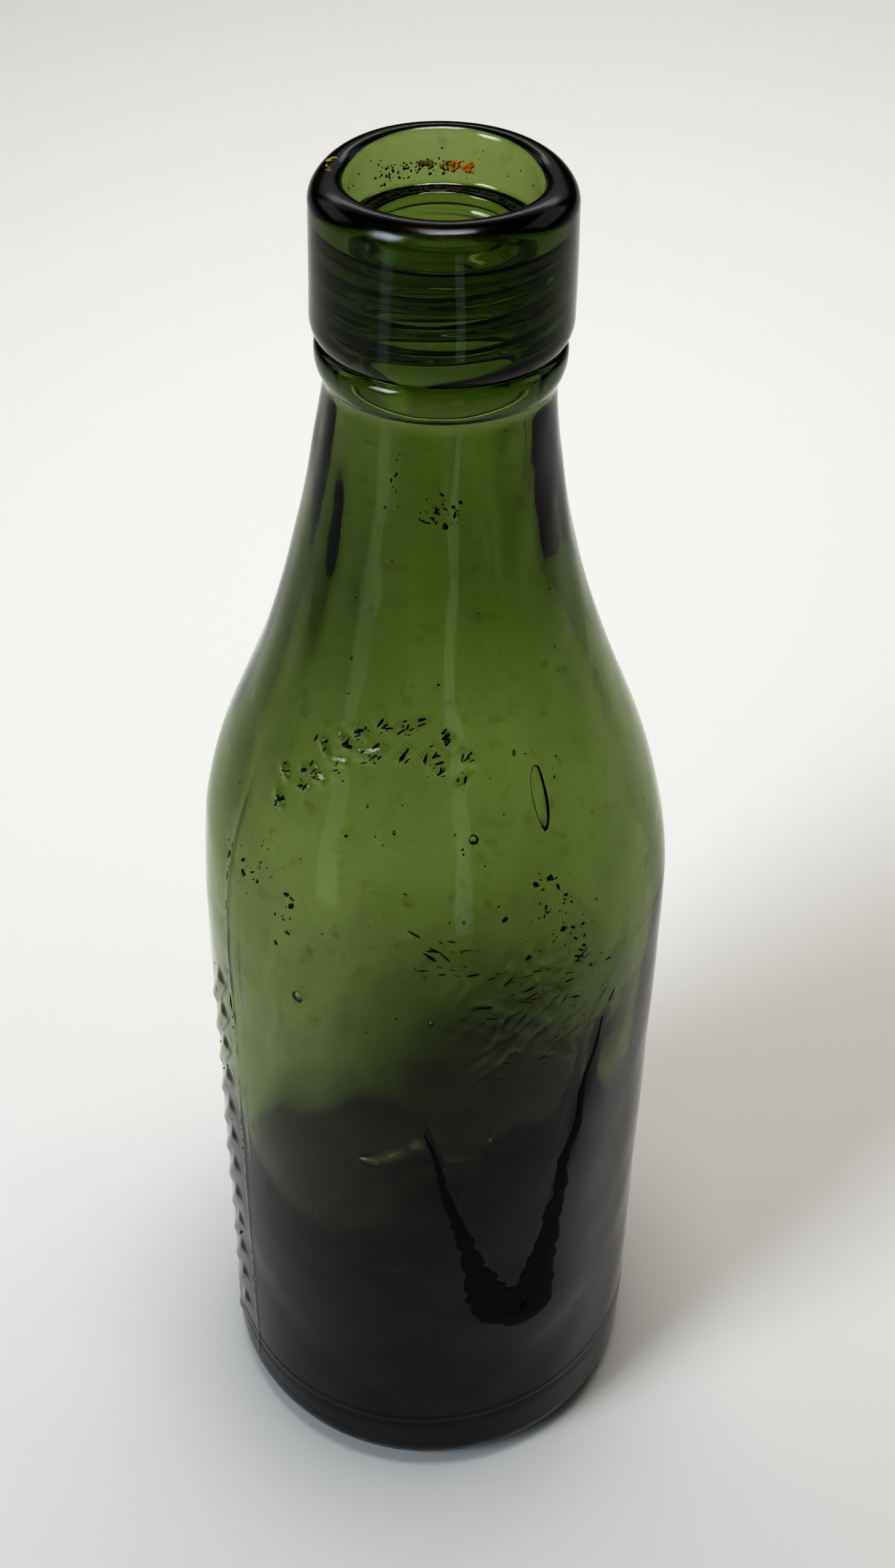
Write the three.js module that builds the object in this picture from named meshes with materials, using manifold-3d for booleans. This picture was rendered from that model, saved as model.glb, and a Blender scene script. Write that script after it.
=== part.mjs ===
// Antique internal-screw bottle in thick olive-green glass.
// Millimetres, +Z up. The origin is the centre of the resting ring under the base.
//
// From the ground up: base, barrel, shoulder and neck make the wall; the throat is the end of
// the neck, with the stopper's screw thread; the collar ring and the applied lip go around it.

import * as THREE from 'three';
import { mergeVertices } from 'three/addons/utils/BufferGeometryUtils.js';
import Module from 'manifold-3d';

// Driving dimensions
const HEIGHT = 246;                 // resting ring to rim
const BODY_RADIUS = 37.5;
const BODY_WALL = 4.4;
const LIP_RADIUS = 17.7;            // at its widest, low on the lip
const JOINT_GAP = 0.3;              // between neighbouring pieces

// Heights where one piece ends and the next begins
const BASE_TOP = 18;
const BARREL_TOP = 121;
const SHOULDER_TOP = 180;
const NECK_TOP = 216.3;
const COLLAR_TOP = 222.8;
const SEAT_HEIGHT = 238.2;          // the ledge that the stopper's head presses on

// Slope of the wall from the neck down to the body: the handles of its outer and inner curves
const OUTER_NECK_HANDLE = { radius: 22, height: 160.5 };
const OUTER_BODY_HANDLE_HEIGHT = 158.5;
const INNER_NECK_HANDLE = { radius: 17.2, height: 163 };
const INNER_BODY_HANDLE_HEIGHT = 153;
const INNER_SLOPE_BOTTOM = 117;

// Base: a flat resting ring around a domed push-up
const HEEL_RADIUS = 7;
const RING_INNER_RADIUS = 26.5;
const RING_OUTER_RADIUS = BODY_RADIUS - HEEL_RADIUS;
const PUSH_UP_HEIGHT = 9;
const FLOOR_THICKNESS = 6.5;
const FLOOR_EDGE_HEIGHT = 10;
const FLOOR_FILLET = 8;

// Neck and throat
const NECK_TOP_RADIUS = 15.9;
const NECK_BORE_RADIUS = 12.9;
const THROAT_RADIUS = 14.6;
const THREAD_ROOT_RADIUS = 11;
const THROAT_FLARE_HEIGHT = 4;      // over which the neck's bore narrows to the thread
const THROAT_TAPER_HEIGHT = 2.4;    // over which the outside narrows to the seat
const SEAT_RADIUS = 12.4;
const SEAT_HOLE_RADIUS = 10.2;
const SEAT_THICKNESS = 1.6;
const SEAT_EDGE_ROUND = 0.5;
const SEAT_UNDERCUT = 0.4;          // half the height of the slope under the seat

// Stopper thread: a coarse, round, right-hand ridge
const THREAD_PITCH = 3.8;
const THREAD_TURNS = 3.25;
const THREAD_TOP = SEAT_HEIGHT - 3;
const THREAD_RIDGE_RADIUS = 1.15;
const THREAD_RIDGE_INSET = 0.2;     // of the ridge's centre line in the wall
const THREAD_RUN_OUT_TURNS = 0.2;   // over which the ridge sinks into the wall at each end
const THREAD_STEPS_PER_TURN = 28;

// Collar ring and lip
const COLLAR_RADIUS = 17.15;
const COLLAR_WIDEST_HEIGHT = 220.6;
const COLLAR_TOP_ROUND = 1.4;
const COLLAR_TOP_SWEEP = 0.8;       // of a quarter turn, in to the groove below the lip
const COLLAR_FOOT_ROUND = 6;
const COLLAR_FOOT_SWEEP = 0.39;     // of a quarter turn, down to the neck
const LIP_RIM_RADIUS = 17.3;        // the lip tapers a little towards the rim
const LIP_WIDEST_HEIGHT = 226.3;
const LIP_FOOT_ROUND = 5.5;
const LIP_FOOT_SWEEP = 0.395;       // of a quarter turn, down to the groove above the collar
const RIM_OUTER_ROUND = 1.6;
const RIM_INNER_ROUND = 1.2;
const MOUTH_RADIUS = 12.85;
const SLOPED_GAP = 0.4;             // across the taper between the throat and the lip

// Colour that the glass shows in each piece; it looks darker where it is thicker
const COLOURS = {
  base: 0x1d2216,
  barrel: 0x3f5420,
  shoulder: 0x4a6322,
  neck: 0x3a5419,
  throat: 0x304716,
  collar_ring: 0x34501a,
  applied_lip: 0x2a3a18,
};
const ROUGHNESS = 0.1;

const AROUND = 48;                  // facets around the axis
const QUARTER = Math.PI / 2;
const HALVINGS = 30;                // when a slope's point at a height is searched for

// The wall's outer and inner outlines from the neck down to the body, as radius and height
const outerSlope = new THREE.CubicBezierCurve(
  new THREE.Vector2(NECK_TOP_RADIUS, NECK_TOP),
  new THREE.Vector2(OUTER_NECK_HANDLE.radius, OUTER_NECK_HANDLE.height),
  new THREE.Vector2(BODY_RADIUS, OUTER_BODY_HANDLE_HEIGHT),
  new THREE.Vector2(BODY_RADIUS, BARREL_TOP),
);
const innerSlope = new THREE.CubicBezierCurve(
  new THREE.Vector2(NECK_BORE_RADIUS, NECK_TOP),
  new THREE.Vector2(INNER_NECK_HANDLE.radius, INNER_NECK_HANDLE.height),
  new THREE.Vector2(BODY_RADIUS - BODY_WALL, INNER_BODY_HANDLE_HEIGHT),
  new THREE.Vector2(BODY_RADIUS - BODY_WALL, INNER_SLOPE_BOTTOM),
);

const wasm = await Module();
wasm.setup();

const point = (radius, height) => new THREE.Vector2(radius, height);

/** Points along a round corner, from one angle to another about its centre. */
function roundCorner(centreRadius, centreHeight, size, fromAngle, toAngle, steps) {
  const points = [];
  for (let step = 0; step <= steps; step += 1) {
    const angle = THREE.MathUtils.lerp(fromAngle, toAngle, step / steps);
    const radius = centreRadius + size * Math.cos(angle);
    const height = centreHeight + size * Math.sin(angle);
    points.push(point(radius, height));
  }
  return points;
}

/** The radius of a slope's outline at a height; both slopes fall steadily from neck to body. */
function radiusAt(slope, height) {
  let above = 0;
  let below = 1;
  for (let pass = 0; pass < HALVINGS; pass += 1) {
    const middle = (above + below) / 2;
    if (slope.getPoint(middle).y > height) {
      above = middle;
    } else {
      below = middle;
    }
  }
  return slope.getPoint(above).x;
}

/** Points along a slope's outline, evenly spaced in height. */
function alongSlope(slope, fromHeight, toHeight, steps) {
  const points = [];
  for (let step = 0; step <= steps; step += 1) {
    const height = THREE.MathUtils.lerp(fromHeight, toHeight, step / steps);
    points.push(point(radiusAt(slope, height), height));
  }
  return points;
}

/** Turns an outline around +Z. Outlines run up the outside and back down the inside. */
function revolve(outline, closesOnItself) {
  const points = closesOnItself ? [...outline, outline[0].clone()] : outline;
  const geometry = new THREE.LatheGeometry(points, AROUND);
  geometry.rotateX(QUARTER);
  return geometry;
}

function toSolid(geometry) {
  const bare = geometry.clone();
  bare.deleteAttribute('normal');
  bare.deleteAttribute('uv');
  const merged = mergeVertices(bare, 1e-4);
  return new wasm.Manifold(new wasm.Mesh({
    numProp: 3,
    vertProperties: new Float32Array(merged.attributes.position.array),
    triVerts: new Uint32Array(merged.index.array),
  }));
}

function toGeometry(solid) {
  const mesh = solid.getMesh();
  const geometry = new THREE.BufferGeometry();
  geometry.setAttribute('position', new THREE.BufferAttribute(mesh.vertProperties, 3));
  geometry.setIndex(new THREE.BufferAttribute(mesh.triVerts, 1));
  geometry.computeVertexNormals();
  return geometry;
}

function glassPiece(name, geometry) {
  const finish = { color: COLOURS[name], roughness: ROUGHNESS, metalness: 0 };
  const material = new THREE.MeshStandardMaterial(finish);
  const mesh = new THREE.Mesh(geometry, material);
  mesh.name = name;
  return mesh;
}

/** A shallow cap over a circle, from its rim to its crown on the axis. */
function domePoints(rimRadius, rimHeight, crownHeight, steps) {
  const rise = crownHeight - rimHeight;
  const points = [];
  for (let step = 0; step <= steps; step += 1) {
    const radius = rimRadius * (1 - step / steps);
    const height = rimHeight + rise * Math.cos(QUARTER * radius / rimRadius);
    points.push(point(radius, height));
  }
  return points;
}

/** Thick bottom: push-up, resting ring, rounded heel and the start of the wall. */
function makeBase() {
  const inside = BODY_RADIUS - BODY_WALL;
  const filletRadius = inside - FLOOR_FILLET;
  const crown = PUSH_UP_HEIGHT + FLOOR_THICKNESS;
  const outline = [
    ...domePoints(RING_INNER_RADIUS, 0, PUSH_UP_HEIGHT, 7).reverse(),
    ...roundCorner(RING_OUTER_RADIUS, HEEL_RADIUS, HEEL_RADIUS, -QUARTER, 0, 6),
    point(BODY_RADIUS, BASE_TOP),
    point(inside, BASE_TOP),
    ...roundCorner(filletRadius, FLOOR_EDGE_HEIGHT + FLOOR_FILLET, FLOOR_FILLET, 0, -QUARTER, 5).slice(1),
    ...domePoints(filletRadius, FLOOR_EDGE_HEIGHT, crown, 6).slice(1),
  ];
  return glassPiece('base', revolve(outline, false));
}

/** Straight wall of the body. */
function makeBarrel() {
  const inside = BODY_RADIUS - BODY_WALL;
  const bottom = BASE_TOP + JOINT_GAP;
  const outline = [
    point(BODY_RADIUS, bottom),
    point(BODY_RADIUS, BARREL_TOP),
    point(radiusAt(innerSlope, BARREL_TOP), BARREL_TOP),
    point(inside, INNER_SLOPE_BOTTOM),
    point(inside, bottom),
  ];
  return glassPiece('barrel', revolve(outline, true));
}

/** Long sloping wall from the body to the neck. */
function makeShoulder() {
  const bottom = BARREL_TOP + JOINT_GAP;
  const outline = [
    ...alongSlope(outerSlope, bottom, SHOULDER_TOP, 9),
    ...alongSlope(innerSlope, SHOULDER_TOP, bottom, 9),
  ];
  return glassPiece('shoulder', revolve(outline, true));
}

/** Slightly flared tube above the shoulder. */
function makeNeck() {
  const bottom = SHOULDER_TOP + JOINT_GAP;
  const outline = [
    ...alongSlope(outerSlope, bottom, NECK_TOP, 4),
    ...alongSlope(innerSlope, NECK_TOP, bottom, 4),
  ];
  return glassPiece('neck', revolve(outline, true));
}

/** The ridge's centre line: a right-hand helix that sinks into the wall at both ends. */
class ThreadPath extends THREE.Curve {
  getPoint(t, target = new THREE.Vector3()) {
    const turns = t * THREAD_TURNS;
    const endDistance = Math.min(turns, THREAD_TURNS - turns);
    const sunk = Math.max(0, 1 - endDistance / THREAD_RUN_OUT_TURNS);
    const radius = THREAD_ROOT_RADIUS + THREAD_RIDGE_INSET + THREAD_RIDGE_RADIUS * sunk;
    const angle = turns * 2 * Math.PI;
    const height = THREAD_TOP - (THREAD_TURNS - turns) * THREAD_PITCH;
    return target.set(radius * Math.cos(angle), radius * Math.sin(angle), height);
  }
}

/** The coarse round ridge that the stopper screws into. */
function threadRidge() {
  const section = new THREE.Shape();
  section.absarc(0, 0, THREAD_RIDGE_RADIUS, 0, 2 * Math.PI);
  return new THREE.ExtrudeGeometry(section, {
    curveSegments: 4,
    steps: Math.round(THREAD_TURNS * THREAD_STEPS_PER_TURN),
    extrudePath: new ThreadPath(),
  });
}

/** End of the neck inside the collar ring and lip, with the seat's ledge on top. */
function makeThroat() {
  const bottom = NECK_TOP + JOINT_GAP;
  const underside = SEAT_HEIGHT - SEAT_THICKNESS;
  const outline = [
    point(THROAT_RADIUS, bottom),
    point(THROAT_RADIUS, SEAT_HEIGHT - THROAT_TAPER_HEIGHT),
    point(SEAT_RADIUS, SEAT_HEIGHT),
    ...roundCorner(SEAT_HOLE_RADIUS + SEAT_EDGE_ROUND, SEAT_HEIGHT - SEAT_EDGE_ROUND, SEAT_EDGE_ROUND,
      QUARTER, 2 * QUARTER, 2),
    point(SEAT_HOLE_RADIUS, underside + SEAT_UNDERCUT),
    point(THREAD_ROOT_RADIUS, underside - SEAT_UNDERCUT),
    point(THREAD_ROOT_RADIUS, bottom + THROAT_FLARE_HEIGHT),
    point(NECK_BORE_RADIUS, bottom),
  ];
  const wall = toSolid(revolve(outline, true));
  const threaded = wall.add(toSolid(threadRidge()));
  return glassPiece('throat', toGeometry(threaded));
}

/** Rounded ring of glass around the top of the neck. */
function makeCollarRing() {
  const inside = THROAT_RADIUS + JOINT_GAP;
  const bottom = NECK_TOP + JOINT_GAP;
  const outline = [
    point(NECK_TOP_RADIUS, bottom),
    ...roundCorner(COLLAR_RADIUS - COLLAR_FOOT_ROUND, COLLAR_WIDEST_HEIGHT, COLLAR_FOOT_ROUND,
      -COLLAR_FOOT_SWEEP * QUARTER, 0, 4),
    ...roundCorner(COLLAR_RADIUS - COLLAR_TOP_ROUND, COLLAR_TOP - COLLAR_TOP_ROUND, COLLAR_TOP_ROUND,
      0, COLLAR_TOP_SWEEP * QUARTER, 4),
    point(inside, COLLAR_TOP),
    point(inside, bottom),
  ];
  return glassPiece('collar_ring', revolve(outline, true));
}

/** Thick straight lip: rounded foot and rim outside, counterbore above the seat inside. */
function makeLip() {
  const bottom = COLLAR_TOP + JOINT_GAP;
  const inside = THROAT_RADIUS + JOINT_GAP;
  const foot = SEAT_RADIUS + SLOPED_GAP;
  const taper = THROAT_TAPER_HEIGHT * (inside - foot) / (THROAT_RADIUS - SEAT_RADIUS);
  const outline = [
    point(inside, bottom),
    ...roundCorner(LIP_RADIUS - LIP_FOOT_ROUND, LIP_WIDEST_HEIGHT, LIP_FOOT_ROUND,
      -LIP_FOOT_SWEEP * QUARTER, 0, 5),
    ...roundCorner(LIP_RIM_RADIUS - RIM_OUTER_ROUND, HEIGHT - RIM_OUTER_ROUND, RIM_OUTER_ROUND,
      0, QUARTER, 4),
    ...roundCorner(MOUTH_RADIUS + RIM_INNER_ROUND, HEIGHT - RIM_INNER_ROUND, RIM_INNER_ROUND,
      QUARTER, 2 * QUARTER, 3),
    point(foot, SEAT_HEIGHT),
    point(inside, SEAT_HEIGHT - taper),
  ];
  return glassPiece('applied_lip', revolve(outline, true));
}

const bottle = new THREE.Group();
bottle.add(
  makeBase(),
  makeBarrel(),
  makeShoulder(),
  makeNeck(),
  makeThroat(),
  makeCollarRing(),
  makeLip(),
);

export default bottle;
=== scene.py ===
"""Antique internal-screw bottle in thick olive-green glass, on a pale floor in soft studio light.

Shapes are given in millimetres and built in metres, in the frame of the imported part.
"""

import bpy
import numpy as np
from mathutils import Matrix, Vector


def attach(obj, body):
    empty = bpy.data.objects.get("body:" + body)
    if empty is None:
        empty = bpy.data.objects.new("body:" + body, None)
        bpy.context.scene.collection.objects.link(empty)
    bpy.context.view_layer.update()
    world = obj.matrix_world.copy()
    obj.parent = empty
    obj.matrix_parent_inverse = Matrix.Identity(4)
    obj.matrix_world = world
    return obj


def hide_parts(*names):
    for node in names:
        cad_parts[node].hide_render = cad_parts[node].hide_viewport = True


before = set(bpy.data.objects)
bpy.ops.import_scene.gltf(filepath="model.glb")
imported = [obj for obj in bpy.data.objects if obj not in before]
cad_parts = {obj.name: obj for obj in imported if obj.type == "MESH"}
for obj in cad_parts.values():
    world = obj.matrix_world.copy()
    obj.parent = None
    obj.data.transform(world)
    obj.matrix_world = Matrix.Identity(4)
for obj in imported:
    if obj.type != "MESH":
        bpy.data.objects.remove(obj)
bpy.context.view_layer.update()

MM = 0.001
ROOT = "root"
PI = np.pi

# ---------------------------------------------------------------- camera

CAMERA_PLACE = (0.0, -0.2572, 0.3795)
CAMERA_PITCH = 42.82                # degrees below the horizon
CAMERA_YAW = -0.40
CAMERA_ROLL = 1.02
FOCAL_LENGTH = 89.0                 # on a sensor 36 mm wide


def add_camera():
    data = bpy.data.cameras.new("camera")
    data.sensor_fit = "HORIZONTAL"
    data.sensor_width = 36
    data.lens = FOCAL_LENGTH
    data.clip_start = 0.01
    data.clip_end = 20
    camera = bpy.data.objects.new("camera", data)
    turn = (
        Matrix.Rotation(np.radians(CAMERA_YAW), 4, "Z")
        @ Matrix.Rotation(np.radians(90 - CAMERA_PITCH), 4, "X")
        @ Matrix.Rotation(np.radians(CAMERA_ROLL), 4, "Z")
    )
    camera.matrix_world = Matrix.Translation(CAMERA_PLACE) @ turn
    bpy.context.scene.collection.objects.link(camera)
    bpy.context.scene.camera = camera


# ---------------------------------------------------------------- outline

# Bearings are in degrees: 0 is right, 90 is the back and -90 faces the camera.

# Outside
BODY_RADIUS = 37.5
HEEL_RADIUS = 7.0
DOME_RADIUS, DOME_HEIGHT = 26.5, 9.0    # push-up under the base
NECK_TOP = 216.3
COLLAR_RADIUS = 17.15
LIP_RADIUS = 17.7                   # at its bottom
LIP_TOP_RADIUS = 17.4
OUTER_SLOPE = [(BODY_RADIUS, 121), (BODY_RADIUS, 158.5), (22, 160.5), (15.9, NECK_TOP)]
LEFT_SEAM, RIGHT_SEAM = -150, 30    # bearings of the mould seams

# Inside
CAVITY_RADIUS = 34.6
FLOOR_HEIGHT = 16.0                 # middle of the cavity's floor
MOUTH_RADIUS = 12.85
LEDGE_HEIGHT = 238.2                # seat for the stopper's head
LEDGE_RADIUS = 10.2                 # its inner edge
BORE_LOW, BORE_HIGH = 219, 236
BORE_RADIUS = 11.0                  # root of the thread
THREAD_LOW, THREAD_HIGH = 221.6, 235.4
THREAD_PITCH = 3.8
THREAD_DEPTH = 0.95


def bezier(points, steps):
    """Points along a cubic curve with four control points."""
    t = np.linspace(0, 1, steps)[:, None]
    a, b, c, d = (np.array(p, float) for p in points)
    return (1 - t) ** 3 * a + 3 * (1 - t) ** 2 * t * b + 3 * (1 - t) * t * t * c + t**3 * d


def arc(centre, radius, start, end, steps):
    """Points along part of a circle, between two angles in degrees."""
    angle = np.radians(np.linspace(start, end, steps))
    return np.stack([centre[0] + radius * np.cos(angle), centre[1] + radius * np.sin(angle)], 1)


def line(start, end, steps):
    return np.linspace(start, end, steps)


def outer_outline():
    """From the push-up's centre, round the heel, up the wall and over the lip to the rim."""
    dome_r = np.linspace(0, DOME_RADIUS, 16)[1:]
    dome = np.stack([dome_r, DOME_HEIGHT * np.cos(PI / 2 * dome_r / DOME_RADIUS)], 1)
    foot = BODY_RADIUS - HEEL_RADIUS
    parts = [
        dome,
        line((27.3, 0), (foot, 0), 4),
        arc((foot, HEEL_RADIUS), HEEL_RADIUS, -82, 0, 16),
        line((BODY_RADIUS, 7.4), (BODY_RADIUS, 120.6), 230),
        bezier(OUTER_SLOPE, 180),
        arc((COLLAR_RADIUS - 6, 220.6), 6.0, -33, 0, 12),
        arc((COLLAR_RADIUS - 1.6, 221.2), 1.6, 5, 72, 10),
        arc((LIP_RADIUS - 5.5, 226.3), 5.5, -36, 0, 12),
        line((LIP_RADIUS, 226.8), (LIP_TOP_RADIUS, 242.4), 44),
        arc((LIP_TOP_RADIUS - 3.2, 242.8), 3.2, 3, 88, 22),
    ]
    return np.concatenate(parts)


def inner_outline():
    """From the rim, down the mouth and the bore to the centre of the floor."""
    parts = [
        arc((MOUTH_RADIUS + 1.3, 244.7), 1.3, 92, 175, 10),
        line((MOUTH_RADIUS, 244.2), (MOUTH_RADIUS - 0.1, 239.6), 14),
        arc((MOUTH_RADIUS - 1.1, LEDGE_HEIGHT + 1), 1.0, 0, -80, 6),
        line((11.5, LEDGE_HEIGHT), (10.8, LEDGE_HEIGHT), 4),
        arc((LEDGE_RADIUS + 0.6, 237.6), 0.6, 80, 180, 7),
        line((LEDGE_RADIUS, 237.4), (LEDGE_RADIUS, 236.9), 2),
        line((10.35, 236.6), (BORE_RADIUS, 236.1), 3),
        line((BORE_RADIUS, 235.9), (BORE_RADIUS, 220.8), 100),
        line((11.1, 220.4), (12.8, 216.8), 12),
        line((12.9, NECK_TOP), (CAVITY_RADIUS, 86.6), 110),
        bezier([(CAVITY_RADIUS, 86), (CAVITY_RADIUS, 38), (27, 15), (0, FLOOR_HEIGHT)], 64)[:-1],
    ]
    return np.concatenate(parts)


# ---------------------------------------------------------------- surface of the glass


def waves(across, along, seed, count, turns, pitch, strength):
    """Smooth irregular relief that closes around the bottle: a sum of seeded waves.

    Turns is the range of whole waves around, pitch the range of their length along, in the unit of along.
    """
    rng = np.random.default_rng(seed)
    total = np.zeros(np.broadcast(across, along).shape)
    for _ in range(count):
        around = rng.integers(turns[0], turns[1] + 1)
        rate = 2 * PI / rng.uniform(*pitch) * rng.choice([-1, 1])
        total = total + np.cos(around * across + rate * along + rng.uniform(0, 2 * PI))
    return strength * total / np.sqrt(count / 2)


def smooth(value, start, end):
    """0 before start, 1 past end, with an even S between."""
    t = np.clip((value - start) / (end - start), 0, 1)
    return t * t * (3 - 2 * t)


def turn_gap(phi, degrees):
    """Signed angle from a bearing, between minus and plus half a turn."""
    return np.mod(phi - np.radians(degrees) + PI, 2 * PI) - PI


def stroke(phi, z, r, place, length, width, lean):
    """1 along a short straight stroke on the wall, falling to 0 a width away."""
    across = turn_gap(phi, place[0]) * r
    up = z - place[1]
    c, s = np.cos(np.radians(lean)), np.sin(np.radians(lean))
    along = across * c + up * s
    side = up * c - across * s
    past = np.maximum(np.abs(along) - length / 2, 0)
    return np.exp(-((side**2 + past**2) / width**2))


# How far each stands out of the wall
SEAM_PROUD = 0.12
MARK_PROUD = 0.36
RIB_PROUD = 0.5
CREASE_PROUD = 0.45

RIB_BEARING = -161.5
RIB_HEIGHTS = np.arange(16, 110, 8.2)


def shoulder_marks():
    """A worn arc of plain raised dashes on the shoulder: bearing, height, length, lean."""
    rng = np.random.default_rng(21)
    marks = []
    for step in np.linspace(0, 1, 10):
        bearing = -138 + 58 * step
        height = 156 + 17 * np.sin(PI * (0.06 + 0.66 * step))
        for shift in (-2.2, 1.6):
            place = (bearing + rng.uniform(-2.2, 2.2), height + shift + rng.uniform(-0.8, 0.8))
            marks.append((place, rng.uniform(1.0, 2.6), rng.uniform(-50, 50)))
    return marks


def side_marks():
    """A column of plain slanting ribs down the left side of the body."""
    return [((RIB_BEARING, height), 11.0, 60) for height in RIB_HEIGHTS]


# Bearings and heights along the fold, which runs down, across and up
CREASE = [(-92, 102), (-84, 78), (-79, 64), (-72, 50.5), (-62, 47), (-57.5, 66), (-54.5, 84), (-44, 119)]
CREASE_MIDDLE = -70                 # bearing


def crease_step(phi, z):
    """A fold in the glass, where the thick slug at the bottom starts: the skin stands out below it."""
    u = BODY_RADIUS * turn_gap(phi, CREASE_MIDDLE)
    wobble = waves(phi, z, 8, 8, (4, 14), (12, 30), 0.3)
    nearest = np.full(u.shape, 1e3)
    points = [(BODY_RADIUS * np.radians(a - CREASE_MIDDLE), h) for a, h in CREASE]
    for (u0, z0), (u1, z1) in zip(points, points[1:]):
        du, dz = u1 - u0, z1 - z0
        t = np.clip(((u - u0) * du + (z - z0) * dz) / (du * du + dz * dz), 0, 1)
        nearest = np.minimum(nearest, np.hypot(u - u0 - t * du, z - z0 - t * dz))
    above = z > np.interp(u, [p[0] for p in points], [p[1] for p in points])
    gap = np.where(above, -nearest, nearest) + wobble
    fade = np.where(u < 0, smooth(z, 98, 80), smooth(z, 122, 96))
    return fade * CREASE_PROUD * smooth(gap, -1.6, 1.6) * smooth(gap, 16, 2)


def wrinkles(phi, z):
    """Crackled skin where the glass was chilled against the mould, at the front right."""
    patch = np.exp(-((turn_gap(phi, -66) / 0.34) ** 2) - ((z - 126) / 15) ** 2)
    bend = waves(phi, z, 17, 8, (3, 12), (12, 40), 1)
    skin = waves(phi + 0.05 * bend, z + 1.4 * bend, 15, 18, (6, 44), (5, 30), 1)
    grain = waves(phi, z, 16, 18, (20, 70), (3, 12), 0.016)
    return patch * (grain - 0.1 * np.exp(-((skin / 0.2) ** 2)))


def outer_relief(phi, z, r):
    """How far the outer surface stands from its even outline."""
    wall = smooth(z, 3, 14) * smooth(z, 219, 213)
    relief = waves(phi, z, 3, 10, (1, 5), (30, 90), 0.06)
    relief = relief + wall * waves(phi, z, 4, 16, (3, 16), (9, 30), 0.022)
    relief = relief + smooth(z, 140, 185) * wall * waves(phi, z, 6, 12, (7, 22), (70, 200), 0.03)
    seam = wall * smooth(z, 168, 140)
    for bearing in (LEFT_SEAM, RIGHT_SEAM):
        relief = relief + seam * SEAM_PROUD * np.exp(-((turn_gap(phi, bearing) * r / 0.5) ** 2))
    heel_seam = 16 + 2.3 * np.cos(phi)
    relief = relief + 0.16 * np.exp(-(((z - heel_seam) / 0.5) ** 2))
    relief = relief + 0.2 * smooth(z, heel_seam, heel_seam - 3)
    raised = np.zeros(relief.shape)
    for place, length, lean in shoulder_marks():
        raised = np.maximum(raised, MARK_PROUD * stroke(phi, z, r, place, length, 0.55, lean))
    for place, length, lean in side_marks():
        raised = np.maximum(raised, RIB_PROUD * stroke(phi, z, r, place, length, 1.3, lean))
    return relief + raised + crease_step(phi, z) + wrinkles(phi, z)


# Thickness of the wall, measured level, at heights along the bottle
WALL_HEIGHTS = [75, 90, 105, 125, 140, 150, 160, 170, 180, 190, 200, 212, NECK_TOP]
WALL_LEFT = [2.9, 2.8, 2.8, 2.9, 3.0, 3.2, 3.8, 4.6, 5.2, 5.2, 4.5, 3.4, 3.0]
WALL_RIGHT = [2.9, 2.7, 2.6, 2.6, 2.7, 2.9, 3.2, 3.7, 4.6, 5.3, 4.9, 3.5, 3.0]
WALL_FRONT = [2.8, 2.6, 2.6, 2.7, 2.9, 3.2, 3.5, 3.8, 4.1, 4.2, 4.2, 3.9, 3.2]

SLOPE_LINE = bezier(OUTER_SLOPE, 200)
SLOPE_RISE = np.gradient(SLOPE_LINE[:, 0], SLOPE_LINE[:, 1])


def inner_radius(phi, z, r):
    """Radius of the inside of the wall between the cavity's rounded bottom and the bore."""
    outside = np.interp(z, SLOPE_LINE[:, 1], SLOPE_LINE[:, 0])
    left = np.interp(z, WALL_HEIGHTS, WALL_LEFT)
    right = np.interp(z, WALL_HEIGHTS, WALL_RIGHT)
    front = np.interp(z, WALL_HEIGHTS, WALL_FRONT)
    side = (left * (1 - np.cos(phi)) + right * (1 + np.cos(phi))) / 2
    wall = side * np.cos(phi) ** 2 + front * np.sin(phi) ** 2
    share = smooth(z, 76, 90) * (z < NECK_TOP + 0.1)
    return r + share * (outside - wall - r)


def thread_relief(phi, z):
    """The worn screw thread, which stands into the bore."""
    turn = np.mod(z - THREAD_LOW - THREAD_PITCH * phi / (2 * PI), THREAD_PITCH) - THREAD_PITCH / 2
    ends = smooth(z, THREAD_LOW - 0.6, THREAD_LOW + 1) * smooth(z, THREAD_HIGH + 0.4, THREAD_HIGH - 0.8)
    worn = 0.8 + 0.35 * np.sin(2 * phi + 0.5 * z)
    return -THREAD_DEPTH * worn * np.exp(-((turn / 0.75) ** 2)) * ends


def slug_relief(phi, z, r):
    """Uneven glass at the bottom: thick at the front right and back right, thin at the back left."""
    slug = -4.5 * np.exp(-((turn_gap(phi, -52) / 0.75) ** 2)) * smooth(z, 104, 48) * smooth(r, 4, 22)
    heel = 5.0 * np.exp(-((turn_gap(phi, 58) / 0.62) ** 2))
    heel = heel - 2.6 * np.exp(-((turn_gap(phi, 136) / 0.7) ** 2))
    heel = heel + waves(phi, z, 12, 8, (2, 7), (30, 80), 0.28)
    return slug - heel * smooth(z, 74, 30) * smooth(r, 6, 24)


def inner_relief(phi, z, r):
    """How far the inner surface stands from its even outline."""
    swell = waves(phi, z, 5, 14, (1, 4), (40, 120), 0.14) * smooth(r, 8, 16) * smooth(z, BORE_LOW, 206)
    streak = waves(phi, z, 9, 12, (6, 18), (60, 180), 0.05) * smooth(z, BORE_LOW, 210) * smooth(z, 60, 110)
    wall = swell + streak + slug_relief(phi, z, r)
    return np.where(z < BORE_LOW, wall, thread_relief(phi, z) * (z < BORE_HIGH))


# ---------------------------------------------------------------- glass mesh

# The neck leans a little to the left
LEAN_HEIGHTS = [128, 140, 160, 180, 192, 207, 216, 246]
LEAN = [0, -0.4, -0.5, -0.7, -0.7, -0.5, -0.1, 0]
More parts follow.
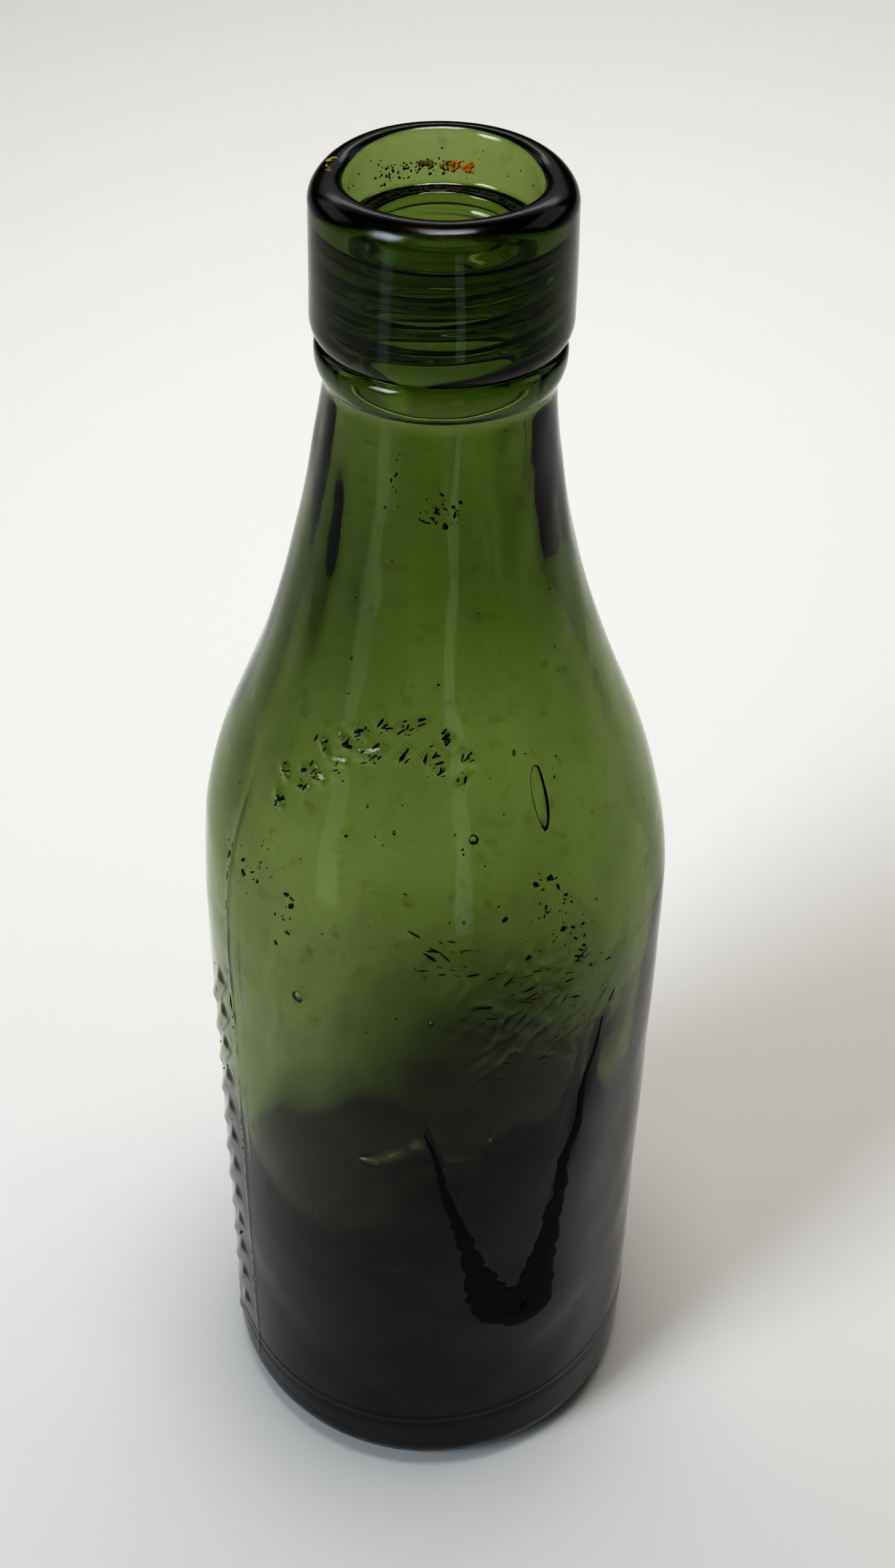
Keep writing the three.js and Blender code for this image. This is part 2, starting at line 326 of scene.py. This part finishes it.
# The lip was put on a little crooked: its front sits higher
LIFT_HEIGHTS = [194, 209, 219, 246]
LIFT = [0, 1.6, 2.0, 1.4]
# The cavity stands a little off the middle of the body
DRIFT_HEIGHTS = [0, 20, 40, 60, 80, 110, 140]
DRIFT = [0, -0.6, -1.2, -1.2, -0.8, -0.3, 0]
FLOOR_FALL = np.radians(128)        # the cavity's floor falls toward this bearing
FLOOR_SLOPE = 0.2
COLUMNS_FRONT, COLUMNS_BACK = 320, 100


def lip_lift(y, z):
    return np.interp(z, LIFT_HEIGHTS, LIFT) * smooth(-y, -6, 20)


def glass_grid():
    """Points of the whole skin, a row for each point of the outlines, closer together in front."""
    outside, inside = outer_outline(), inner_outline()
    outline = np.concatenate([outside, inside])
    front = np.linspace(np.radians(-195), np.radians(-5), COLUMNS_FRONT, endpoint=False)
    back = np.linspace(np.radians(-5), np.radians(165), COLUMNS_BACK, endpoint=False)
    phi = np.concatenate([front, back])[None, :] + np.zeros((len(outline), 1))
    r = outline[:, :1] + np.zeros_like(phi)
    z = outline[:, 1:] + np.zeros_like(phi)
    outer = (np.arange(len(outline)) < len(outside))[:, None]
    inside_r = inner_radius(phi, z, r)
    inside_r = inside_r + inner_relief(phi, z, inside_r)
    outside_r = r + outer_relief(phi, z, r) * np.clip(r / 12, 0, 1)
    r = np.where(outer, outside_r, inside_r)
    x = r * np.cos(phi)
    y = r * np.sin(phi)
    fall = FLOOR_SLOPE * (x * np.cos(FLOOR_FALL) + y * np.sin(FLOOR_FALL)) * smooth(z, 86, 36)
    drift = np.interp(z, DRIFT_HEIGHTS, DRIFT)
    x = x + np.where(outer, 0, drift) + np.interp(z, LEAN_HEIGHTS, LEAN)
    return np.stack([x, y, z - np.where(outer, 0, fall) + lip_lift(y, z)], -1)


def ring_faces(rows, columns):
    """Quads between rings of points that each close on themselves."""
    i, j = np.meshgrid(np.arange(rows - 1), np.arange(columns), indexing="ij")
    k = (j + 1) % columns
    low, high = i * columns, (i + 1) * columns
    return np.stack([low + j, low + k, high + k, high + j], -1).reshape(-1, 4)


def blob(centre, size, axes, rough, rng, rings=10, sides=18):
    """A closed lump: an ellipsoid of half sizes along three axes, roughened by seeded waves."""
    angle = np.linspace(0, PI, rings + 2)[1:-1][:, None]
    around = np.linspace(0, 2 * PI, sides, endpoint=False)[None, :]
    uneven = 1 + rough * waves(around, angle, int(rng.integers(1, 10**6)), 5, (2, 5), (1.2, 3), 1)
    local = np.stack([
        np.cos(angle) * size[0] + 0 * around,
        np.sin(angle) * np.cos(around) * uneven * size[1],
        np.sin(angle) * np.sin(around) * uneven * size[2],
    ], -1).reshape(-1, 3)
    ends = np.array([[size[0], 0, 0], [-size[0], 0, 0]])
    verts = np.concatenate([local, ends]) @ np.array(axes) + np.array(centre)
    quads = ring_faces(rings, sides)[:, ::-1]
    cols = np.arange(sides)
    nxt = (cols + 1) % sides
    top = np.stack([np.full(sides, len(local)), cols, nxt], 1)
    last = (rings - 1) * sides
    low = np.stack([np.full(sides, len(local) + 1), last + nxt, last + cols], 1)
    return verts, quads.tolist() + top.tolist() + low.tolist()


def wall_axes(bearing, z):
    """Radial, level and upward directions of the outer surface at a bearing and height."""
    tilt = np.interp(z, SLOPE_LINE[:, 1], SLOPE_RISE, left=0, right=0)
    a = np.radians(bearing)
    out = np.array([np.cos(a), np.sin(a), -tilt])
    out = out / np.linalg.norm(out)
    level = np.array([-np.sin(a), np.cos(a), 0])
    return out, level, np.cross(out, level)


def wall_point(bearing, z, depth):
    """A point in the glass, a depth below the outer surface."""
    r = np.interp(z, SLOPE_LINE[:, 1], SLOPE_LINE[:, 0], right=LIP_TOP_RADIUS)
    lean = np.interp(z, LEAN_HEIGHTS, LEAN)
    a = np.radians(bearing)
    out = wall_axes(bearing, z)[0]
    y = r * np.sin(a)
    return np.array([r * np.cos(a) + lean, y, z + lip_lift(y, z)]) - depth * out


SEED_BUBBLES = 70                   # as small as seeds


def bubbles(rng):
    """Air trapped in the wall: one long blister, a few round ones and a scatter of seeds.

    Each is a bearing and height, a depth, three half sizes and a roughness.
    """
    found = [
        ((-56.5, 161), 1.9, (0.35, 1.25, 5.3), 0.03),
        ((-78.4, 157.6), 1.4, (0.4, 0.7, 0.8), 0.03),
        ((-124.5, 124.4), 1.4, (0.35, 0.9, 1.2), 0.05),
        ((-90.6, 125.7), 1.3, (0.3, 0.45, 0.6), 0.05),
        ((-106, 90), 1.3, (0.4, 1.9, 1.1), 0.06),
        ((-75, 96), 1.3, (0.3, 0.6, 0.9), 0.05),
    ]
    for _ in range(SEED_BUBBLES):
        size = rng.uniform(0.1, 0.26)
        place = (rng.uniform(-180, 180), rng.uniform(24, 208))
        found.append((place, rng.uniform(0.7, 2.0), (size, size, size * rng.uniform(1, 2.2)), 0.02))
    return found


def glass_mesh():
    """The skin closed at its two poles, with the bubbles as inward-facing lumps in the same mesh."""
    grid = glass_grid()
    rows, columns = grid.shape[:2]
    faces = ring_faces(rows, columns).tolist()
    cols = np.arange(columns)
    nxt = (cols + 1) % columns
    count = rows * columns
    low_pole, floor_pole = count, count + 1
    last = (rows - 1) * columns
    faces += np.stack([np.full(columns, low_pole), nxt, cols], 1).tolist()
    faces += np.stack([np.full(columns, floor_pole), last + cols, last + nxt], 1).tolist()
    poles = np.array([[0, 0, DOME_HEIGHT], [0, 0, FLOOR_HEIGHT]])
    parts = [grid.reshape(-1, 3), poles]
    start = count + 2
    rng = np.random.default_rng(33)
    for place, depth, size, rough in bubbles(rng):
        verts, lump = blob(wall_point(*place, depth), size, wall_axes(*place), rough, rng)
        parts.append(verts)
        faces += [[start + index for index in reversed(face)] for face in lump]
        start += len(verts)
    return make_object("bottle_glass", np.concatenate(parts) * MM, faces)


def make_object(name, verts, faces):
    mesh = bpy.data.meshes.new(name)
    mesh.from_pydata(verts.tolist(), [], faces)
    mesh.validate()
    mesh.update()
    mesh.shade_smooth()
    obj = bpy.data.objects.new(name, mesh)
    bpy.context.scene.collection.objects.link(obj)
    return obj


# ---------------------------------------------------------------- glass material

ABSORB_COLOUR = (0.6, 0.67, 0.33, 1)
ABSORB_DENSITY = 500                # per metre
GLASS_IOR = 1.52
GLOSS_TINT = (1, 0.93, 1, 1)
CLEAN_TINT = (0.95, 0.97, 0.93, 1)
# Tint mixed into the glass towards the bottom, making it darker there
LOW_DARK_TINT = (0.26, 0.235, 0.2, 1)
LOW_DARK_FULL, LOW_DARK_END = 15, 88        # heights
RIM_WEAR_START, RIM_WEAR_FULL = 243.8, 245.6
MIX_FACTOR, MIX_A, MIX_B, MIX_RESULT = 0, 6, 7, 2   # sockets of a Mix node for colours


def node(tree, kind, **inputs):
    """A new node, with values for its inputs by name."""
    new = tree.nodes.new(kind)
    for name, value in inputs.items():
        new.inputs[name].default_value = value
    return new


def noise(tree, stretch, scale, detail=4.0):
    """Noise on the object's own coordinates, stretched along its axes. Scale is per metre."""
    place = tree.nodes.new("ShaderNodeTexCoord")
    mapping = node(tree, "ShaderNodeMapping", Scale=stretch)
    pattern = node(tree, "ShaderNodeTexNoise", Scale=scale, Detail=detail)
    tree.links.new(place.outputs["Object"], mapping.inputs["Vector"])
    tree.links.new(mapping.outputs["Vector"], pattern.inputs["Vector"])
    return pattern.outputs["Fac"]


def remap(tree, value, old, new):
    """A value moved from one range to another, and kept within it."""
    change = tree.nodes.new("ShaderNodeMapRange")
    for name, number in zip(("From Min", "From Max", "To Min", "To Max"), (*old, *new)):
        change.inputs[name].default_value = number
    tree.links.new(value, change.inputs["Value"])
    return change.outputs["Result"]


def combine(tree, operation, first, second, clamp=True):
    """A sum or other operation on two values, each a socket or a plain number."""
    maths = tree.nodes.new("ShaderNodeMath")
    maths.operation = operation
    maths.use_clamp = clamp
    for socket, value in zip(maths.inputs, (first, second)):
        if isinstance(value, float):
            socket.default_value = value
        else:
            tree.links.new(value, socket)
    return maths.outputs[0]


def object_axes(tree):
    """The object's own x, y and z, in metres."""
    place = tree.nodes.new("ShaderNodeTexCoord")
    split = tree.nodes.new("ShaderNodeSeparateXYZ")
    tree.links.new(place.outputs["Object"], split.inputs[0])
    return split.outputs


def low_darkening(tree, axes):
    """1 at the bottom and 0 higher up: it reaches higher on the right, and its edge is ragged."""
    ragged = remap(tree, noise(tree, (1, 1, 0.28), 75), (0.25, 0.75), (-0.012, 0.012))
    level = combine(tree, "ADD", axes["Z"], ragged, clamp=False)
    slant = combine(tree, "MULTIPLY", axes["X"], 0.3, clamp=False)
    slanted = combine(tree, "SUBTRACT", level, slant, clamp=False)
    return remap(tree, slanted, (LOW_DARK_END * MM, LOW_DARK_FULL * MM), (0.0, 1.0))


def soil_and_low_darkening_tint(tree, axes):
    """Nearly clear, turning darker and browner towards the bottom, with specks and haze of soil above."""
    specks = remap(tree, noise(tree, (1, 1, 1), 260, 6.0), (0.62, 0.74), (0.0, 0.35))
    haze = remap(tree, noise(tree, (1, 1, 0.6), 42, 5.0), (0.45, 0.7), (0.0, 0.1))
    # darker towards the bottom, plus random specks and haze
    darkening = combine(tree, "ADD", low_darkening(tree, axes), combine(tree, "ADD", specks, haze))
    tint = node(tree, "ShaderNodeMix")
    tint.data_type = "RGBA"
    tint.inputs[MIX_A].default_value = CLEAN_TINT
    tint.inputs[MIX_B].default_value = LOW_DARK_TINT
    tree.links.new(darkening, tint.inputs[MIX_FACTOR])
    return tint.outputs[MIX_RESULT]


def worn_roughness(tree, axes):
    """Glossy in places and dulled by handling in others, most of all on the rim."""
    dull = remap(tree, noise(tree, (1, 1, 0.6), 120, 5.0), (0.4, 0.75), (0.012, 0.09))
    rim_wear = remap(tree, axes["Z"], (RIM_WEAR_START * MM, RIM_WEAR_FULL * MM), (0.0, 0.14))
    return combine(tree, "ADD", dull, rim_wear)


def glass_material():
    """Olive glass: the green comes from depth, and the darkening towards the bottom, the specks, wear and
    fine waves are on its surface.
    """
    material = bpy.data.materials.new("olive_glass")
    material.use_nodes = True
    tree = material.node_tree
    shader = tree.nodes["Principled BSDF"]
    shader.inputs["IOR"].default_value = GLASS_IOR
    shader.inputs["Transmission Weight"].default_value = 1
    shader.inputs["Specular Tint"].default_value = GLOSS_TINT
    axes = object_axes(tree)
    tree.links.new(soil_and_low_darkening_tint(tree, axes), shader.inputs["Base Color"])
    tree.links.new(worn_roughness(tree, axes), shader.inputs["Roughness"])
    skin = node(tree, "ShaderNodeBump", Strength=0.06, Distance=0.25 * MM)
    tree.links.new(noise(tree, (1, 1, 0.7), 300, 3.0), skin.inputs["Height"])
    tree.links.new(skin.outputs["Normal"], shader.inputs["Normal"])
    absorb = node(tree, "ShaderNodeVolumeAbsorption", Color=ABSORB_COLOUR, Density=ABSORB_DENSITY)
    tree.links.new(absorb.outputs["Volume"], tree.nodes["Material Output"].inputs["Volume"])
    return material


def add_glass():
    piece = glass_mesh()
    piece.data.materials.append(glass_material())
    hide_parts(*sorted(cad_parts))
    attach(piece, ROOT)


# ---------------------------------------------------------------- soil, rust, lime and painted shade in the fold

SOIL_COLOUR = (0.012, 0.014, 0.008)
MOUTH_SOIL_COLOUR = (0.045, 0.04, 0.016)
RUST_COLOUR = (0.78, 0.3, 0.02)
LIME_COLOUR = (0.4, 0.32, 0.05)
# Near-black painted shade laid in the fold in the glass
CREASE_SHADE_COLOUR = (0.007, 0.005, 0.006)
FLECK_HALF = 0.07                   # half the thickness, on the wall
MOUTH_FLECK_HALF = 0.09


def matt_material(name, colour, roughness, specular=0.5):
    material = bpy.data.materials.new(name)
    material.use_nodes = True
    shader = material.node_tree.nodes["Principled BSDF"]
    shader.inputs["Base Color"].default_value = (*colour, 1)
    shader.inputs["Roughness"].default_value = roughness
    shader.inputs["Specular IOR Level"].default_value = specular
    return material


def fleck_piece(name, spots, colour, rough, seed):
    """Thin irregular flakes stuck to the glass: each spot is a centre, axes and half sizes."""
    rng = np.random.default_rng(seed)
    parts, faces, start = [], [], 0
    for centre, axes, size in spots:
        verts, lump = blob(centre, size, axes, rough, rng, rings=5, sides=11)
        parts.append(verts)
        faces += [[start + index for index in face] for face in lump]
        start += len(verts)
    piece = make_object(name, np.concatenate(parts) * MM, faces)
    piece.data.materials.append(matt_material(name, colour, 0.8))
    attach(piece, ROOT)


def turned(axes, angle):
    """The same axes, turned about the first of them."""
    out, level, up = axes
    return out, level * np.cos(angle) + up * np.sin(angle), up * np.cos(angle) - level * np.sin(angle)


def wall_spots(rng, bearing, height, spread, count, sizes, slim=(0.3, 0.8), leans=(0, 180)):
    """Flecks gathered around one place on the outer surface.

    Spread is in degrees around and millimetres up, slim is width over length, and leans are in degrees.
    """
    spots = []
    for _ in range(count):
        place = (bearing + rng.normal(0, spread[0]), height + rng.normal(0, spread[1]))
        long_side = sizes[0] + (sizes[1] - sizes[0]) * rng.uniform() ** 2.5
        axes = turned(wall_axes(*place), np.radians(rng.uniform(*leans)))
        size = (FLECK_HALF, long_side, long_side * rng.uniform(*slim))
        spots.append((wall_point(*place, -0.02), axes, size))
    return spots


def ring_spots(rng, radius, height, bearings, count, sizes, lying):
    """Flecks around the mouth: on its upright inner wall, or lying on the ledge or the rim."""
    spots = []
    for _ in range(count):
        a = np.radians(rng.uniform(*bearings))
        r, z = rng.uniform(*radius), rng.uniform(*height)
        out = np.array([np.cos(a), np.sin(a), 0])
        level = np.array([-np.sin(a), np.cos(a), 0])
        up = np.array([0, 0, 1.0])
        axes = (up, level, out) if lying else (out, level, up)
        long_side = rng.uniform(*sizes)
        size = (MOUTH_FLECK_HALF, long_side, long_side * rng.uniform(0.4, 0.9))
        centre = np.array([r * np.cos(a), r * np.sin(a), z])
        spots.append((centre, turned(axes, rng.uniform(0, PI)), size))
    return spots


# Width of the painted shade at each point of the fold
RIBBON_WIDTHS = [0.4, 1.8, 3.6, 9.0, 9.0, 4.0, 1.9, 0.3]
RIBBON_HALF = 0.09                  # half the thickness
RIBBON_STEPS = 420
RIBBON_SIDES = 14
RIBBON_SOFTEN = 20                  # steps on each side that round its corners


def ribbon_path(steps):
    """Bearings and heights along the fold, with its corners rounded."""
    knots = np.arange(len(CREASE))
    average = np.ones(2 * RIBBON_SOFTEN + 1) / (2 * RIBBON_SOFTEN + 1)
    path = []
    for values in zip(*CREASE):
        padded = np.pad(np.interp(steps, knots, values), RIBBON_SOFTEN, "edge")
        path.append(np.convolve(padded, average, "valid"))
    return path


def crease_shade_ribbon():
    """Painted shade in the fold in the glass: a thin near-black ribbon with uneven edges, an oval across.
    """
    steps = np.linspace(0, len(CREASE) - 1, RIBBON_STEPS)
    bearing, z = ribbon_path(steps)
    u = BODY_RADIUS * np.radians(bearing)
    wave = waves(0 * z, z + u, 71, 10, (0, 0), (12, 34), 0.22)
    half = np.interp(steps, np.arange(len(CREASE)), RIBBON_WIDTHS) / 2
    half = half * (1 + waves(0 * z, 2 * z - u, 72, 8, (0, 0), (5, 20), 0.14))
    ragged = [1 + waves(0 * z, z - 0.4 * u, seed, 14, (0, 0), (1.6, 7), 0.03) for seed in (73, 74)]
    du, dz = np.gradient(u), np.gradient(z)
    span = np.hypot(du, dz)
    turn = np.linspace(0, 2 * PI, RIBBON_SIDES, endpoint=False)[None, :]
    reach = np.where(np.cos(turn) > 0, ragged[0][:, None], ragged[1][:, None])
    side = np.cos(turn) * reach * np.abs(half)[:, None] + wave[:, None]
    around = u[:, None] - side * (dz / span)[:, None]
    height = z[:, None] + side * (du / span)[:, None]
    phi = around / BODY_RADIUS
    r = BODY_RADIUS + outer_relief(phi, height, BODY_RADIUS + 0 * phi) + RIBBON_HALF * np.sin(turn)
    verts = np.stack([r * np.cos(phi), r * np.sin(phi), height], -1).reshape(-1, 3)
    faces = ring_faces(RIBBON_STEPS, RIBBON_SIDES).tolist()
    faces.append(list(range(RIBBON_SIDES))[::-1])
    faces.append(list(range(len(verts) - RIBBON_SIDES, len(verts))))
    return verts, faces


def add_crease_shade():
    verts, faces = crease_shade_ribbon()
    # Painted shade: a dark matt ribbon lying in the fold
    piece = make_object("crease_painted_shade", verts * MM, faces)
    piece.data.materials.append(matt_material("crease_painted_shade", CREASE_SHADE_COLOUR, 0.6, 0.3))
    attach(piece, ROOT)


def wall_soil(rng):
    """Soil on the outer surface: on the raised marks and seams, and in crackled patches between them."""
    spots = []
    for place, _, _ in shoulder_marks():
        spots += wall_spots(rng, *place, (1.0, 0.8), 9, (0.12, 0.75), (0.16, 0.4), (10, 80))
    for height in (108, 100, 92, 84):
        spots += wall_spots(rng, RIB_BEARING - 1.5, height, (2, 2), 4, (0.1, 0.5))
    spots += wall_spots(rng, -61, 143, (6, 4.5), 42, (0.1, 0.62))
    spots += wall_spots(rng, -53, 136, (4, 3), 16, (0.1, 0.5))
    spots += wall_spots(rng, -140, 145, (4.5, 3), 24, (0.1, 0.6))
    spots += wall_spots(rng, -127, 140, (1.5, 2.5), 14, (0.15, 0.7))
    spots += wall_spots(rng, -64, 127, (9, 7), 60, (0.15, 1.5), (0.08, 0.22), (-35, 60))
    spots += wall_spots(rng, -84, 139, (9, 2.5), 26, (0.15, 1.2), (0.08, 0.25), (-50, 20))
    spots += wall_spots(rng, -88, 205.5, (6, 1.1), 30, (0.1, 0.5))
    spots += wall_spots(rng, -108, 209, (2, 2.4), 10, (0.15, 0.5), (0.2, 0.5), (60, 110))
    for height in np.arange(24, 150, 2.4):
        spots += wall_spots(rng, LEFT_SEAM - 0.6, height, (0.25, 1), 1, (0.3, 1.7), (0.06, 0.14), (86, 94))
    for height in RIB_HEIGHTS - 0.9:
        spots += wall_spots(rng, RIB_BEARING + 1, height, (1.2, 0.5), 2, (0.6, 2.4), (0.12, 0.25), (50, 66))
    spots += wall_spots(rng, -95, 150, (34, 26), 90, (0.08, 0.26))
    return spots


def mouth_soil(rng):
    """Soil along the ledge and on the wall of the mouth above it."""
    spots = ring_spots(rng, (10.9, 11.9), (238.22, 238.3), (-10, 190), 70, (0.2, 0.7), lying=True)
    spots += ring_spots(rng, (12.7, 12.8), (239.2, 241.8), (88, 132), 70, (0.06, 0.24), lying=False)
    spots += ring_spots(rng, (12.7, 12.8), (239.0, 244), (0, 180), 24, (0.06, 0.2), lying=False)
    return spots


def mouth_lime(rng):
    """Lime beside the rust in the mouth, and a little on the rim at the left."""
    spots = ring_spots(rng, (12.75, 12.8), (240.3, 241.6), (86, 106), 26, (0.12, 0.4), lying=False)
    spots += ring_spots(rng, (14.4, 15.2), (245.85, 245.95), (160, 178), 8, (0.15, 0.5), lying=True)
    return spots


def add_flecks():
    rng = np.random.default_rng(57)
    fleck_piece("soil_flecks", wall_soil(rng), SOIL_COLOUR, 0.22, 61)
    fleck_piece("mouth_soil", mouth_soil(rng), MOUTH_SOIL_COLOUR, 0.22, 62)
    rust = ring_spots(rng, (12.72, 12.8), (239.8, 241.6), (72, 85), 34, (0.08, 0.42), lying=False)
    fleck_piece("mouth_rust", rust, RUST_COLOUR, 0.25, 63)
    fleck_piece("mouth_lime", mouth_lime(rng), LIME_COLOUR, 0.25, 64)


# ---------------------------------------------------------------- floor and light

FLOOR_HALF = 3                      # metres
FLOOR_COLOUR = (0.835, 0.815, 0.775)


def add_floor():
    corners = np.array([[-1, -1, 0], [1, -1, 0], [1, 1, 0], [-1, 1, 0]], float)
    floor = make_object("floor", FLOOR_HALF * corners, [[0, 1, 2, 3]])
    floor.data.materials.append(matt_material("pale_floor", FLOOR_COLOUR, 0.9, 0.1))


def area_light(name, place, target, size, power, colour, spread=180):
    """A soft light at a place in metres, turned toward a target. Power is in watts."""
    data = bpy.data.lights.new(name, "AREA")
    data.shape = "RECTANGLE"
    data.size, data.size_y = size
    data.energy = power
    data.color = colour
    data.spread = np.radians(spread)
    light = bpy.data.objects.new(name, data)
    direction = Vector(target) - Vector(place)
    light.rotation_euler = direction.to_track_quat("-Z", "Y").to_euler()
    light.location = place
    light.visible_camera = False
    bpy.context.scene.collection.objects.link(light)


def add_lights():
    area_light("back_light", (0, 1.6, 1.3), (0, 0.1, 0.1), (3.0, 1.2), 4.0, (1, 0.99, 0.97))
    area_light("back_window", (0, 1.6, 1.35), (0, 0.1, 0.1), (2.4, 0.34), 3.8, (1, 0.99, 0.98))
    area_light("right_light", (1.5, 0.5, 1.0), (0, 0.1, 0), (1.3, 1.0), 2.3, (1, 0.99, 0.96))
    area_light("left_light", (-1.5, 0.7, 0.9), (0, 0.1, 0), (1.2, 0.8), 1.9, (0.99, 0.98, 1))
    area_light("top_light", (0.05, 0.02, 1.35), (0, 0.36, 0), (0.5, 0.5), 0.95, (1, 0.99, 0.98), 70)
    area_light("window_light", (-1.05, -0.75, 0.9), (0, 0.14, 0), (0.56, 1.05), 1.2, (0.82, 0.9, 1), 50)
    area_light("strip_light_a", (0.075, -0.30, 0.105), (0, 0, 0.15), (0.04, 0.11), 0.007, (0.7, 0.9, 1))
    area_light("strip_light_b", (-0.22, -0.20, 0.105), (0, 0, 0.15), (0.05, 0.11), 0.007, (0.6, 0.88, 1))


def add_world():
    world = bpy.data.worlds.new("studio")
    world.use_nodes = True
    background = world.node_tree.nodes["Background"]
    background.inputs["Color"].default_value = (0.95, 0.97, 1, 1)
    background.inputs["Strength"].default_value = 0.04
    bpy.context.scene.world = world


def set_look():
    """Contrast like the photo's, and enough bounces for light to pass through both walls."""
    scene = bpy.context.scene
    scene.view_settings.view_transform = "Standard"
    scene.view_settings.look = "Very High Contrast"
    scene.cycles.max_bounces = 28
    scene.cycles.transmission_bounces = 28
    scene.cycles.glossy_bounces = 8
    scene.cycles.sample_clamp_indirect = 4


add_camera()
set_look()
add_floor()
add_lights()
add_world()
add_glass()
add_flecks()
add_crease_shade()
